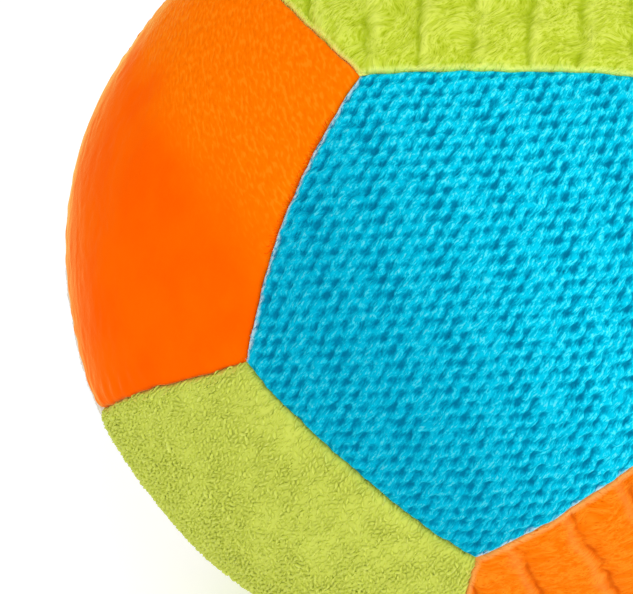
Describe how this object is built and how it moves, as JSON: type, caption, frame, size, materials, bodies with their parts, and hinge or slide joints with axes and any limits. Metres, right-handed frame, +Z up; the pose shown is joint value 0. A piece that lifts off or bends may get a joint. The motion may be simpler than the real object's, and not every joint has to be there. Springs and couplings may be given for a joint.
{
  "type": "sensory ball",
  "caption": "Stuffed cloth ball for babies, sewn from five-sided panels of different textures, with a small rattle inside.",
  "frame": {"origin": "middle of the flat that the ball rests on, under the ball's centre", "axes": "+Z up through the middle of the top panel, -Y towards the front knitted panel, +X to the right as seen from the front"},
  "size_m": [0.1502, 0.1494, 0.1465],
  "materials": {
    "lime_rib_plush": "ribbed plush, lime green",
    "cyan_knit": "chunky knit, cyan blue",
    "orange_velour": "smooth velour, orange",
    "lime_terry": "looped terry cloth, lime green",
    "orange_rib_plush": "ribbed plush, light orange",
    "pale_plush": "short plush, off-white",
    "sewing_thread": "polyester thread, dark teal",
    "closing_thread": "polyester thread, lime green",
    "fibre_filling": "loose polyester fibre, white",
    "rattle_shell": "moulded plastic, ivory",
    "rattle_cap": "moulded plastic, blue",
    "rattle_bead": "glossy plastic, red"
  },
  "bodies": {
    "ball": {"lime_rib_panel_top": "lime_rib_plush", "lime_rib_panel_bottom": "lime_rib_plush", "knit_panel_front": "cyan_knit", "knit_panel_back": "cyan_knit", "velour_panel_left": "orange_velour", "velour_panel_right": "orange_velour", "terry_panel_low_left": "lime_terry", "terry_panel_high_right": "lime_terry", "orange_rib_panel_low_right": "orange_rib_plush", "orange_rib_panel_high_left": "orange_rib_plush", "plush_panel_right": "pale_plush", "plush_panel_left": "pale_plush", "seam_thread": "sewing_thread", "closing_stitch": "closing_thread", "filling_lower": "fibre_filling", "filling_upper": "fibre_filling", "rattle_cup": "rattle_shell", "rattle_lid": "rattle_cap"},
    "bead_1": {"rattle_bead_1": "rattle_bead"},
    "bead_2": {"rattle_bead_2": "rattle_bead"},
    "bead_3": {"rattle_bead_3": "rattle_bead"}
  },
  "joints": [
    {"name": "bead_1_roll", "type": "hinge", "parent": "ball", "child": "bead_1", "pos_m": [-0.0079, 0, 0.073], "axis": [1, 0, 0], "continuous": true},
    {"name": "bead_2_roll", "type": "hinge", "parent": "ball", "child": "bead_2", "pos_m": [-0.0015, 0, 0.073], "axis": [1, 0, 0], "continuous": true},
    {"name": "bead_3_roll", "type": "hinge", "parent": "ball", "child": "bead_3", "pos_m": [0.0049, 0, 0.073], "axis": [1, 0, 0], "continuous": true}
  ]
}
